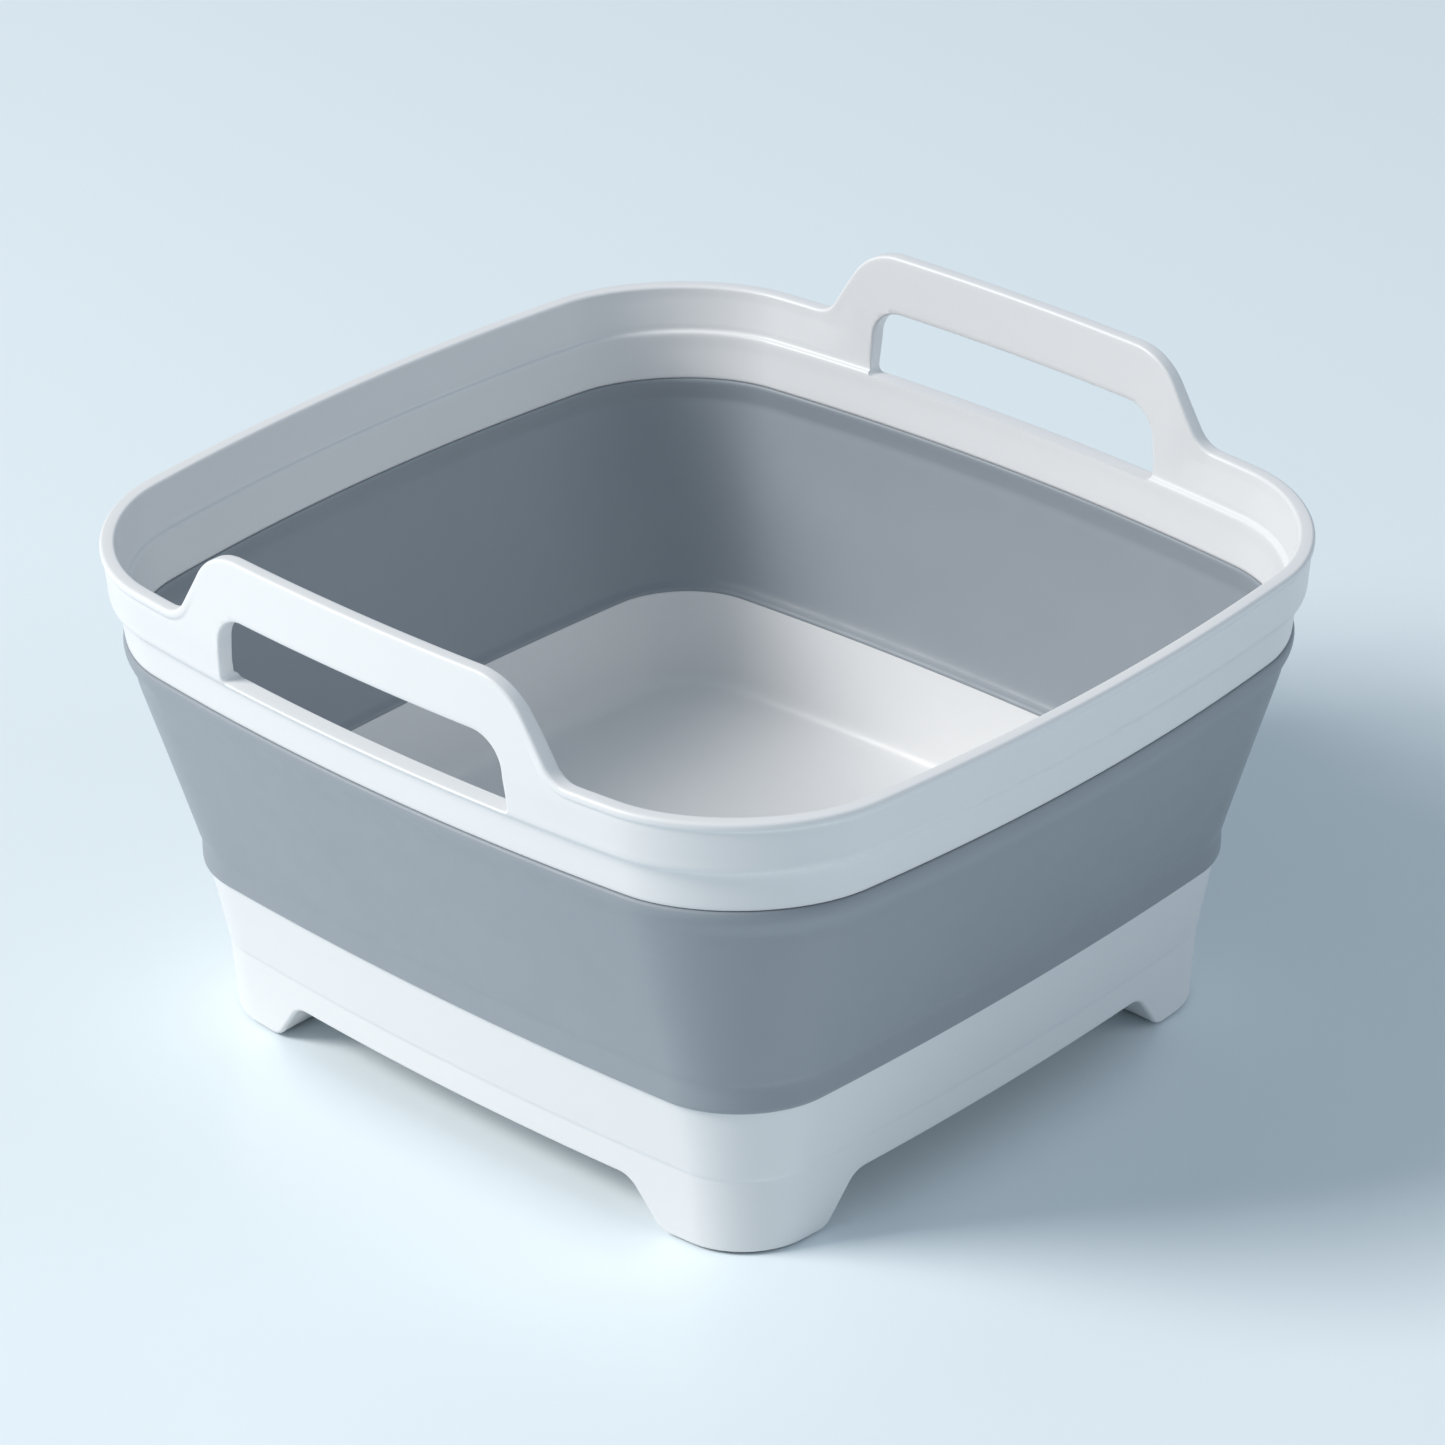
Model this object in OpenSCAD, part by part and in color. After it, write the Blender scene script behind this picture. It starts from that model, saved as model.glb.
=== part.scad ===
// Collapsible foot spa basin: a rigid rim with two loop handles, a soft folding
// wall, a rigid base tray on four corner legs, rubber foot pads and a drain plug.
// Millimetres. Z is up, the origin is on the ground under the centre of the basin,
// the handles are on -X and +X.

/* [Rim] */
// Half width of the rim across the handles, at the middle of a side
rim_hx = 180; // [165:1:200]
// Half width of the rim along the plain sides, at the middle of a side
rim_hy = 190.5; // [170:0.5:210]
// Corner radius of the rim's outline
rim_r = 57; // [45:1:70]
// How far the sides that carry the handles bow outwards
rim_bow_x = 13.4; // [6:0.2:18]
// How far the plain sides bow outwards
rim_bow_y = 14.6; // [6:0.2:18]
// Height of the rolled lip above the ground
rim_top = 198.9; // [190:0.1:210]
// Height of the seam between rim and folding wall
seam_top = 161.2; // [155:0.1:168]

/* [Handles] */
// Height of the top of the grip bar above the ground
handle_top = 231.6; // [222:0.2:240]
// Half length of the flat top of the grip bar
handle_flat = 60; // [50:1:70]
// Radius of the outer top corners
handle_corner = 25; // [12:1:28]
// Radius of the blend from the handle down into the lip
handle_blend = 12; // [6:1:18]
// Slope of the handle's sides, in degrees from level
handle_slope = 58; // [50:1:75]
// Half length of the finger opening at its sill
grip_half = 72; // [60:1:76]
// Top of the finger opening
grip_top = 208; // [200:0.2:214]
// Radius of the finger opening's top corners
grip_corner = 13; // [6:1:18]
// Thickness of the grip bar at its top
handle_t = 6; // [4:0.2:9]

/* [Folding wall] */
// Half width of the wall's lower end across the handles
wall_hx = 147.8; // [140:0.2:155]
// Half width of the wall's lower end along the plain sides
wall_hy = 155.8; // [148:0.2:164]
// Corner radius of the wall's lower end
wall_r = 35.6; // [30:0.2:45]
// Thickness of the soft panel between the two hinge creases
wall_t = 2.2; // [1.6:0.1:3]
// Height of the wall's lower edge
seam_low = 65.3; // [60:0.1:70]

/* [Base tray] */
// Height of the tray's own upper edge, inside the wall
tray_top = 77; // [72:0.2:82]
// Height of the faint step around the outside, level with the floor
step_z = 32.8; // [28:0.2:36]
// Upper face of the floor
floor_z = 37; // [34:0.2:42]
// Thickness of floor and skirt
tray_t = 2.6; // [2:0.1:3.5]
// Top of the arches between the legs
arch_z = 19.4; // [14:0.2:22]
// Half width of each arch at the ground, on the handle sides
arch_y = 100; // [90:1:110]
// Half width of each arch at the ground, on the plain sides
arch_x = 93; // [84:1:104]

/* [Feet and drain] */
// How far the rubber pads stand out below the legs
pad_out = 1.0; // [0.6:0.1:2]
// Radius of the drain outlet
drain_r = 19; // [14:0.5:24]
// Radius of the plug's cover disc
plug_r = 26; // [22:0.5:32]

/* [Hidden] */
NC = 14;  // points around each corner
NS = 10;  // points along each side
step_a = 90 / NC;

// Signed part of a rounded rectangle with half sizes a, b and corner radius r,
// taken as one quarter turned q times, before its sides are bowed.
function corner_pts(a, b, r, q) =
    let (sx = (q == 0 || q == 3) ? 1 : -1, sy = (q < 2) ? 1 : -1)
    [for (i = [0:NC - 1]) let (t = q * 90 + i * step_a)
        [sx * (a - r) + r * cos(t), sy * (b - r) + r * sin(t)]];
function side_pts(a, b, r, q) =
    let (p = (q == 0) ? [[a, -(b - r)], [a, b - r]] :
             (q == 1) ? [[a - r, b], [-(a - r), b]] :
             (q == 2) ? [[-a, b - r], [-a, -(b - r)]] :
                        [[-(a - r), -b], [a - r, -b]])
    [for (i = [0:NS - 1]) p[0] + (p[1] - p[0]) * i / NS];
function plain_ring(a, b, r) =
    [for (q = [0:3]) each concat(side_pts(a, b, r, q), corner_pts(a, b, r, q))];
// Outline with its sides bowed out by bx and by, so that its half sizes are hx, hy.
function outline(hx, hy, r, bx, by) =
    let (a = hx - bx, b = hy - by)
    [for (p = plain_ring(a, b, max(r, 4)))
        [p.x * (1 + bx / a * (1 - pow(p.y / b, 2))),
         p.y * (1 + by / b * (1 - pow(p.x / a, 2)))]];
function lifted(pts, z) = [for (p = pts) [p.x, p.y, z]];

// The rim's outline, inset by d.
function rim_ring(d) = outline(rim_hx - d, rim_hy - d, rim_r - d, rim_bow_x, rim_bow_y);
// The wall's outline: u runs from 0 at the upper seam to 1 at the lower one, inset by d.
top_d = 5.8;
function mix(a, b, u) = a + (b - a) * u;
function wall_ring(u, d) = outline(
    mix(rim_hx - top_d, wall_hx, u) - d, mix(rim_hy - top_d, wall_hy, u) - d,
    mix(rim_r - top_d, wall_r, u) - d, mix(rim_bow_x, 6.9, u), mix(rim_bow_y, 6.1, u));
// The tray's outline, inset by d from the wall's lower end.
function tray_ring(d) = wall_ring(1, d);

N = 4 * (NC + NS);
function quad(a, b, c, d) = [[a, b, c], [a, c, d]];
function band_faces(k, j, n) = [for (i = [0:n - 1]) let (i2 = (i + 1) % n)
    each quad(k * n + i2, k * n + i, j * n + i, j * n + i2)];
// Closed sleeve: a list of rings that goes up the outside and down the inside.
module sleeve(rings) {
    m = len(rings);
    polyhedron([for (r = rings) each r],
        [for (k = [0:m - 1]) each band_faces(k, (k + 1) % m, N)], convexity = 8);
}
// Closed plug: a list of rings from the lowest to the highest, capped at both ends.
module stack(rings) {
    m = len(rings);
    polyhedron([for (r = rings) each r],
        concat([[for (i = [0:N - 1]) i]],
               [for (k = [0:m - 2]) each band_faces(k, k + 1, N)],
               [[for (i = [N - 1:-1:0]) (m - 1) * N + i]]), convexity = 8);
}

// ---- rim -------------------------------------------------------------------
// Section of the rim as [inset, height]: up the outside, over the lip, down the inside.
lip_z = rim_top - 2.6;
rim_section = [
    [6.3, seam_top], [5.6, seam_top + 8.8], [5.1, seam_top + 12.3], [4.4, seam_top + 15],
    [3, seam_top + 17.3], [1.8, seam_top + 19.3], [1.3, seam_top + 21.3], [0.35, rim_top - 4.6],
    [-0.4, rim_top - 3.2], [-0.6, rim_top - 1.9], [-0.3, rim_top - 0.7], [0.7, rim_top],
    [4, rim_top], [4.9, rim_top - 0.5], [5.2, rim_top - 1.4], [5.9, rim_top - 7.6],
    [7.6, seam_top + 21.8], [7.4, seam_top + 20.4], [8.4, seam_top + 19.3],
    [9.2, seam_top + 17.6], [9.9, seam_top + 9], [10.9, seam_top + 0.6], [10.6, seam_top],
    [9.8, seam_top], [9.8, seam_top - 5.6], [7.6, seam_top - 5.6], [7.6, seam_top]];
sill_z = seam_top + 18.4;

// Outer shape of one handle in its own plane, from below the lip to the grip bar.
function arc(cx, cy, r, a0, a1, n) =
    [for (i = [0:n]) let (t = a0 + (a1 - a0) * i / n) [cx + r * cos(t), cy + r * sin(t)]];
arc_y = handle_flat;
arc_z = handle_top - handle_corner;
slope_y = arc_y + handle_corner * sin(handle_slope);   // where the corner meets the slope
slope_z = arc_z + handle_corner * cos(handle_slope);
lip_mid = rim_top - 1.2;
foot_y = slope_y + (slope_z - lip_mid) / tan(handle_slope);
blend_y = foot_y + handle_blend * tan(handle_slope / 2);
handle_half = concat(
    arc(arc_y, arc_z, handle_corner, 90, 90 - handle_slope, 8),
    arc(blend_y, lip_mid + handle_blend, handle_blend, 270 - handle_slope, 270, 6),
    [[blend_y, lip_mid - 4]]);
handle_shape = concat(handle_half,
    [for (i = [len(handle_half) - 1:-1:0]) [-handle_half[i].x, handle_half[i].y]]);

// A plate in the plane of the handles, drawn in [y, z] and standing across x0..x1.
module across(x0, x1) translate([x0, 0, 0]) rotate([90, 0, 90]) linear_extrude(x1 - x0) children();

module grip_hole() {
    hull() {
        for (s = [-1, 1]) {
            translate([s * (grip_half - 2.2 - grip_corner), grip_top - grip_corner]) circle(grip_corner, $fn = 48);
            translate([s * (grip_half - 2), sill_z + 1.7]) circle(2, $fn = 32);
        }
    }
}
// Stiffening gusset between lip and handle, inside the blend.
module blend_web(s) {
    hull() {
        translate([s * (handle_flat + 6), handle_top - 14]) circle(8, $fn = 32);
        translate([s * (foot_y - 9), rim_top - 2]) circle(5, $fn = 32);
    }
}

module rim_frame() color("white") difference() {
    union() {
        sleeve([for (p = rim_section) lifted(rim_ring(p[0]), p[1])]);
        // both handles: a taller band that follows the rim's bow, trimmed to the handle's shape
        intersection() {
            sleeve([for (p = [[2.6, sill_z + 3], [2.2, lip_z - 3.5], [0.5, lip_z + 0.6], [0.3, handle_top - 6], [0.35, handle_top - 1.1],
                              [0.7, handle_top - 0.3], [1.4, handle_top], [handle_t - 0.9, handle_top], [handle_t - 0.2, handle_top - 0.3],
                              [handle_t + 0.15, handle_top - 1.1], [handle_t + 0.3, handle_top - 12], [handle_t + 0.7, lip_z + 0.6],
                              [handle_t + 0.9, lip_z - 3.5], [handle_t + 1.2, sill_z + 4.4], [handle_t + 0.6, sill_z + 3.6]])
                lifted(rim_ring(p[0]), p[1])]);
            for (x0 = [-rim_hx - 10, rim_hx - 30]) across(x0, x0 + 40) union() {
                polygon(handle_shape);
                for (s = [-1, 1]) blend_web(s);
                for (s = [-1, 1]) hull() { translate([s * 20, handle_top - 6]) circle(6, $fn = 32); translate([s * 55, handle_top - 6]) circle(6, $fn = 32); }
            }
        }
    }
    across(-rim_hx - 10, -rim_hx + 30) grip_hole();
    across(rim_hx - 30, rim_hx + 10) grip_hole();
}

// ---- folding wall ----------------------------------------------------------
// Section as [u, inset, height]. The upper bead holds the rim's tongue in a groove,
// the lower skirt laps over the outside of the tray.
crease_low = seam_low + 13.5;
crease_top = seam_top - 13.5;
g = 0.3;   // gap around the tongue
wall_section = [
    [1, 0.5, seam_low], [1, 0, seam_low + 1.2], [1, 0, seam_low + 9], [0.985, 0, seam_low + 11],
    [0.925, 0, crease_low + 1.5], [0.14, 0, crease_top - 1], [0.115, 0, crease_top + 2], [0.04, 0, crease_top + 6],
    [0, 0, seam_top - 5], [0, -0.3, seam_top - 3], [0, 0.1, seam_top - 0.3],
    [0, 7.6 - g - top_d, seam_top - 0.3], [0, 7.6 - g - top_d, seam_top - 6.2],
    [0, 9.8 + g - top_d, seam_top - 6.2], [0, 9.8 + g - top_d, seam_top - 0.3],
    [0, 11.2 - top_d, seam_top - 0.3], [0, 11.0 - top_d, seam_top - 6],
    [0.04, 4.2, crease_top + 5], [0.12, wall_t + 0.2, crease_top + 1], [0.14, wall_t, crease_top - 2],
    [0.925, wall_t, crease_low + 2.5], [0.985, 3.2, crease_low - 1], [1, 4.2, tray_top + 0.6], [1, 4.2, tray_top],
    [1, 1.65, tray_top], [1, 1.65, seam_low]];

module folding_wall() color("slategray")
    sleeve([for (p = wall_section) lifted(wall_ring(p[0], p[1]), p[2])]);

// ---- base tray -------------------------------------------------------------
leg_z = pad_out;    // underside of the legs
tray_outer = [[11.4, leg_z], [10.2, leg_z + 0.9], [9.9, leg_z + 2.2], [8.2, step_z - 0.6], [7.7, step_z], [1.8, tray_top - 11], [1.8, tray_top]];
tray_inner = [[16.5, floor_z], [13.2, floor_z + 0.5], [10.6, floor_z + 2.4], [9.2, floor_z + 5.2], [8.6, floor_z + 8.5],
              [4.3, tray_top - 2], [4.3, tray_top + 1]];
under_z = floor_z - tray_t;
tray_under = [[12.8, -1], [10.8, step_z - 1], [11.6, under_z]];
tray_pocket = [[13.4, -1], [11.6, step_z - 4]];

// Half of an arch's outline: from the ground up to the level soffit.
function arch_half(w, grow) = concat(
    [[w + 4 + grow, -2], [w + grow, leg_z]],
    [[w - 1.3 + grow, leg_z + 1.4], [w - 9.5 + grow, leg_z + 12.5]],
    arc(w - 18 + grow, arch_z - 9, 9, 38, 90, 5));
function arch_shape(w, grow) = let (h = arch_half(w, grow))
    concat(h, [for (i = [len(h) - 1:-1:0]) [-h[i].x, h[i].y]]);
// The same with its flanks carried straight up, for the walls of the legs.
function flank_shape(w, grow, top) = let (h = arch_half(w, grow), n = len(h) - 1)
    concat([for (i = [0:n]) h[i]], [[h[n].x, top], [-h[n].x, top]], [for (i = [n:-1:0]) [-h[i].x, h[i].y]]);

module along_y() rotate([90, 0, 0]) translate([0, 0, -200]) linear_extrude(400) children();
module along_x() rotate([90, 0, 90]) translate([0, 0, -200]) linear_extrude(400) children();

// Space under the floor that the four boxed legs leave free.
module between_legs() intersection() {
    stack([for (p = tray_under) lifted(tray_ring(p[0]), p[1])]);
    union() {
        along_y() polygon(flank_shape(arch_x, 0, 60));
        along_x() polygon(flank_shape(arch_y, 0, 60));
    }
}
// Hollow of each leg, open below, where the rubber pad plugs in.
module leg_hollows() difference() {
    stack([for (p = tray_pocket) lifted(tray_ring(p[0]), p[1])]);
    along_y() polygon(flank_shape(arch_x, tray_t, 60));
    along_x() polygon(flank_shape(arch_y, tray_t, 60));
}
// Stiffening rib under the floor, from the drain collar towards the skirt.
module floor_rib(a, len) rotate([0, 0, a]) hull() {
    translate([drain_r + 6, -0.9, under_z - 2.4]) cube([1, 1.8, 2.8]);
    translate([len, -0.9, under_z - 1.2]) cube([1, 1.8, 1.6]);
}

module base_tray() color("white") difference() {
    union() {
        difference() {
            stack([for (p = tray_outer) lifted(tray_ring(p[0]), p[1])]);
            stack([for (p = tray_inner) lifted(tray_ring(p[0]), p[1])]);
            between_legs();
            leg_hollows();
            along_y() polygon(arch_shape(arch_x, 0));
            along_x() polygon(arch_shape(arch_y, 0));
        }
        // collar around the outlet, below the floor
        translate([0, 0, under_z - 5]) cylinder(r = drain_r + 8, h = 5.4, $fn = 96);
        for (i = [0:7]) floor_rib(i * 45, (i % 2 == 0) ? 120 : 124);
    }
    translate([0, 0, under_z - 8]) cylinder(r = drain_r, h = 30, $fn = 96);
    // shallow seat that takes the plug's disc
    translate([0, 0, floor_z - 1.2]) cylinder(r = plug_r + 1, h = 5, $fn = 96);
}

// ---- foot pads -------------------------------------------------------------
// Plan of one pad: the leg's own outline, held inside the leg's walls.
module pad_plan(d) intersection() {
    polygon(tray_ring(d));
    translate([arch_x + tray_t + 1.6, arch_y + tray_t + 1.6]) square([80, 80]);
}
module foot_pad(sx, sy) color("dimgray") mirror([sx < 0 ? 1 : 0, 0, 0]) mirror([0, sy < 0 ? 1 : 0, 0]) union() {
    linear_extrude(leg_z) pad_plan(11.9);     // sole
    linear_extrude(leg_z + 5) pad_plan(14.4); // plug inside the leg
}
module foot_pad_front_left() foot_pad(-1, -1);
module foot_pad_front_right() foot_pad(1, -1);
module foot_pad_rear_left() foot_pad(-1, 1);
module foot_pad_rear_right() foot_pad(1, 1);

// ---- drain plug ------------------------------------------------------------
// Cover disc with a stem that drops through the outlet, and a low finger bar on top.
plug_seat = floor_z - 1.2;
module drain_plug() color("gainsboro") {
    difference() {
        union() {
            translate([0, 0, plug_seat]) cylinder(r = plug_r, h = 2.4, $fn = 96);
            translate([0, 0, plug_seat - 9]) cylinder(r = drain_r - 3.2, h = 9.2, $fn = 96);
            translate([-14, -1.6, plug_seat + 2]) cube([28, 3.2, 7]);
        }
        translate([0, 0, plug_seat - 10]) cylinder(r = drain_r - 5.6, h = 9, $fn = 96);
    }
}
// Soft ring on the plug's stem that seals against the outlet.
module plug_seal() color("slategray") translate([0, 0, plug_seat - 6]) rotate_extrude($fn = 96)
    polygon([[drain_r - 3.2, 0], [drain_r - 1.4, 0], [drain_r - 0.3, 1.4], [drain_r - 0.3, 2.2], [drain_r - 1.4, 3.6], [drain_r - 3.2, 3.6]]);

rim_frame();
folding_wall();
base_tray();
foot_pad_front_left();
foot_pad_front_right();
foot_pad_rear_left();
foot_pad_rear_right();
drain_plug();
plug_seal();
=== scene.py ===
import math
import bpy
import numpy as np
from mathutils import Matrix, Vector


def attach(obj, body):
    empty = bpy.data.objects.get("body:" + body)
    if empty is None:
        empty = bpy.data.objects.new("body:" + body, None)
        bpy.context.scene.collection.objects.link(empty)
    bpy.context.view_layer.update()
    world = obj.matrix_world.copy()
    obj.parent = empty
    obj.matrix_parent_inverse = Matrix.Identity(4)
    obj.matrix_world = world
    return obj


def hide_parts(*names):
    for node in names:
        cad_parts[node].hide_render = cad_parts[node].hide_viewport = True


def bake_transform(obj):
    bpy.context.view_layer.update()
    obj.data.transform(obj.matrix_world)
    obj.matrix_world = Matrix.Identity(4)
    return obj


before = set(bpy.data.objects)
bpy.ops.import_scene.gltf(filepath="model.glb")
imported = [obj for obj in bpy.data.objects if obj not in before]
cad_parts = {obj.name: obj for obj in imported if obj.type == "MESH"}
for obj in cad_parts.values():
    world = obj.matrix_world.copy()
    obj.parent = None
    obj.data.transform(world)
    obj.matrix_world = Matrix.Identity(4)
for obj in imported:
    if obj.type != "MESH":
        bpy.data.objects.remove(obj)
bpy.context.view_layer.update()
MM = 0.001

# ---------------------------------------------------------------------------
# Outlines, in millimetres: the same bowed rounded rectangles as the CAD parts.
# ---------------------------------------------------------------------------
RIM = dict(hx=180.0, hy=190.5, r=57.0, bx=13.4, by=14.6)
TOP_D = 5.8
RIM_TOP = 198.9
SEAM = 161.2
SEAM_LOW = 65.3
FLOOR = 37.0
TRAY_TOP = 77.0


def smooth(e0, e1, x):
    t = np.clip((np.asarray(x, float) - e0) / (e1 - e0), 0, 1)
    return t * t * (3 - 2 * t)


def mix(a, b, t):
    return a + (b - a) * t


class Loop:
    """Stations once round a rounded rectangle. fx are distances along the +X and -X sides, fy along the others."""

    def __init__(self, fx, fy, nc):
        q, corner, f, ang = [], [], [], []
        for k in range(4):
            src = fx if k in (0, 2) else fy
            for v in src:
                q.append(k), corner.append(False), f.append(v), ang.append(0.0)
            for i in range(nc):
                q.append(k), corner.append(True), f.append(0.0)
                ang.append(math.radians(90 * k + 90 * i / nc))
        self.q = np.array(q)
        self.corner = np.array(corner)
        self.f = np.array(f, float)
        self.ang = np.array(ang)
        self.sx = np.where((self.q == 0) | (self.q == 3), 1.0, -1.0)
        self.sy = np.where(self.q < 2, 1.0, -1.0)
        self.on_x = (~self.corner) & (self.q % 2 == 0)
        self.on_y = (~self.corner) & (self.q % 2 == 1)
        self.n = len(self.q)

    def points(self, hx, hy, r, bx, by, f=None):
        f = self.f if f is None else f
        one = np.ones(self.n)
        a, b, r = (hx - bx) * one, (hy - by) * one, np.maximum(r, 4.0) * one
        x = np.select([self.corner, self.q == 0, self.q == 1, self.q == 2, self.q == 3],
                      [self.sx * (a - r) + r * np.cos(self.ang), a, -f, -a, f])
        y = np.select([self.corner, self.q == 0, self.q == 1, self.q == 2, self.q == 3],
                      [self.sy * (b - r) + r * np.sin(self.ang), f, b, -f, -b])
        return x * (1 + bx / a * (1 - (y / b) ** 2)), y * (1 + by / b * (1 - (x / a) ** 2))

    def rim(self, d, z, f=None):
        x, y = self.points(RIM["hx"] - d, RIM["hy"] - d, RIM["r"] - d, RIM["bx"], RIM["by"], f)
        return np.c_[x, y, z * np.ones(self.n)]

    def wall(self, u, d, z, f=None):
        hx, hy = mix(RIM["hx"] - TOP_D, 147.8, u) - d, mix(RIM["hy"] - TOP_D, 155.8, u) - d
        r = mix(RIM["r"] - TOP_D, 35.6, u) - d
        x, y = self.points(hx, hy, r, mix(RIM["bx"], 6.9, u), mix(RIM["by"], 6.1, u), f)
        return np.c_[x, y, z * np.ones(self.n)]


def spline(pts, step):
    """Smooth curve through the points (centripetal Catmull-Rom), resampled at about that step."""
    p = np.array(pts, float)
    p = np.vstack([2 * p[0] - p[1], p, 2 * p[-1] - p[-2]])
    out = []
    for i in range(1, len(p) - 2):
        p0, p1, p2, p3 = p[i - 1], p[i], p[i + 1], p[i + 2]
        t1 = np.linalg.norm(p1 - p0) ** 0.5
        t2 = t1 + np.linalg.norm(p2 - p1) ** 0.5
        t3 = t2 + np.linalg.norm(p3 - p2) ** 0.5
        n = max(1, int(math.ceil(np.linalg.norm((p2 - p1)[-2:]) / step)))
        for k in range(n):
            t = t1 + (t2 - t1) * k / n
            a1 = (t1 - t) / t1 * p0 + t / t1 * p1
            a2 = (t2 - t) / (t2 - t1) * p1 + (t - t1) / (t2 - t1) * p2
            a3 = (t3 - t) / (t3 - t2) * p2 + (t - t2) / (t3 - t2) * p3
            b1 = (t2 - t) / t2 * a1 + t / t2 * a2
            b2 = (t3 - t) / (t3 - t1) * a2 + (t - t1) / (t3 - t1) * a3
            out.append((t2 - t) / (t2 - t1) * b1 + (t - t1) / (t2 - t1) * b2)
    out.append(p[-2])
    return out


# ---------------------------------------------------------------------------
# Mesh helpers
# ---------------------------------------------------------------------------
def sleeve_faces(rows, n, closed=True, base=0):
    faces = []
    last = rows if closed else rows - 1
    for k in range(last):
        a, b = base + k * n, base + ((k + 1) % rows) * n
        for i in range(n):
            j = (i + 1) % n
            faces.append((a + i, a + j, b + j, b + i))
    return faces


def build(name, verts, faces, angle=38, weld=0.0):
    mesh = bpy.data.meshes.new(name)
    mesh.from_pydata([tuple(float(c) * MM for c in v) for v in verts], [], [tuple(int(i) for i in f) for f in faces])
    mesh.validate()
    o = bpy.data.objects.new(name, mesh)
    bpy.context.scene.collection.objects.link(o)
    tidy(o, angle, weld)
    return o


def tidy(o, angle=38, weld=0.0):
    import bmesh
    bm = bmesh.new()
    bm.from_mesh(o.data)
    if weld:
        bmesh.ops.remove_doubles(bm, verts=bm.verts, dist=weld * MM)
    bmesh.ops.recalc_face_normals(bm, faces=bm.faces)
    bm.to_mesh(o.data)
    bm.free()
    o.data.polygons.foreach_set("use_smooth", [True] * len(o.data.polygons))
    o.data.set_sharp_from_angle(angle=math.radians(angle))
    o.data.update()


def join(o, others, name):
    """One object from several, without operators."""
    verts, faces, base = [], [], 0
    for p in [o, *others]:
        verts += [tuple(v.co) for v in p.data.vertices]
        faces += [tuple(base + i for i in f.vertices) for f in p.data.polygons]
        base += len(p.data.vertices)
    mesh = bpy.data.meshes.new(name)
    mesh.from_pydata(verts, [], faces)
    made = bpy.data.objects.new(name, mesh)
    bpy.context.scene.collection.objects.link(made)
    for p in [o, *others]:
        bpy.data.objects.remove(p)
    return made


def loft(rings, cap=True):
    """Closed rings of equal length, lowest first; returns verts and faces."""
    n = len(rings[0])
    verts = [p for r in rings for p in r]
    faces = sleeve_faces(len(rings), n, closed=False)
    if cap:
        faces.append(tuple(range(n - 1, -1, -1)))
        faces.append(tuple((len(rings) - 1) * n + i for i in range(n)))
    return verts, faces


def lathe(profile, n=128):
    """Closed profile of (radius, z) turned about Z."""
    rings = []
    for r, z in profile:
        rings.append([(r * math.cos(2 * math.pi * i / n), r * math.sin(2 * math.pi * i / n), z) for i in range(n)])
    verts = [p for r in rings for p in r]
    return verts, sleeve_faces(len(rings), n, closed=True)


def fillet_profile(pts, radii, seg=5):
    """Closed polygon with rounded corners, in 2-D."""
    out, n = [], len(pts)
    for i in range(n):
        p, a, b = Vector(pts[i]), Vector(pts[i - 1]), Vector(pts[(i + 1) % n])
        u, v = (a - p).normalized(), (b - p).normalized()
        r = radii[i]
        if r <= 0:
            out.append(tuple(p))
            continue
        half = math.acos(max(-1, min(1, u.dot(v)))) / 2
        t = r / math.tan(half)
        c = p + (u + v).normalized() * (r / math.sin(half))
        s, e = p + u * t - c, p + v * t - c
        a0 = math.atan2(s.y, s.x)
        da = math.atan2(e.y, e.x) - a0
        da = (da + math.pi) % (2 * math.pi) - math.pi
        for k in range(seg + 1):
            w = a0 + da * k / seg
            out.append((c.x + r * math.cos(w), c.y + r * math.sin(w)))
    return out


# ---------------------------------------------------------------------------
# Rim with its two handles
# ---------------------------------------------------------------------------
H_TOP, H_FLAT, H_R, H_BLEND, H_SLOPE = 231.6, 60.0, 25.0, 12.0, math.radians(58)


def handle_edge():
    """Half of the edge line over one handle as (y, z, ny, nz), from its middle to the end of the straight side."""
    pts = [(y, H_TOP, 0.0, -1.0) for y in np.linspace(0, H_FLAT, 15)[:-1]]
    cz = H_TOP - H_R
    for w in np.linspace(math.pi / 2, math.pi / 2 - H_SLOPE, 14)[:-1]:
        pts.append((H_FLAT + H_R * math.cos(w), cz + H_R * math.sin(w), -math.cos(w), -math.sin(w)))
    y1, z1 = H_FLAT + H_R * math.sin(H_SLOPE), cz + H_R * math.cos(H_SLOPE)
    yf = y1 + (z1 - RIM_TOP) / math.tan(H_SLOPE)
    t = H_BLEND * math.tan(H_SLOPE / 2)
    y2, z2 = yf - t * math.cos(H_SLOPE), RIM_TOP + t * math.sin(H_SLOPE)
    n = (-math.sin(H_SLOPE), -math.cos(H_SLOPE))
    for k in np.linspace(0, 1, 9)[:-1]:
        pts.append((mix(y1, y2, k), mix(z1, z2, k), n[0], n[1]))
    cy, cz = yf + t, RIM_TOP + H_BLEND
    for w in np.linspace(1.5 * math.pi - H_SLOPE, 1.5 * math.pi, 12)[:-1]:
        pts.append((cy + H_BLEND * math.cos(w), cz + H_BLEND * math.sin(w), math.cos(w), math.sin(w)))
    end = RIM["hy"] - RIM["by"] - RIM["r"]
    for y in np.linspace(cy, end, 4):
        pts.append((y, RIM_TOP, 0.0, -1.0))
    return pts


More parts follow.
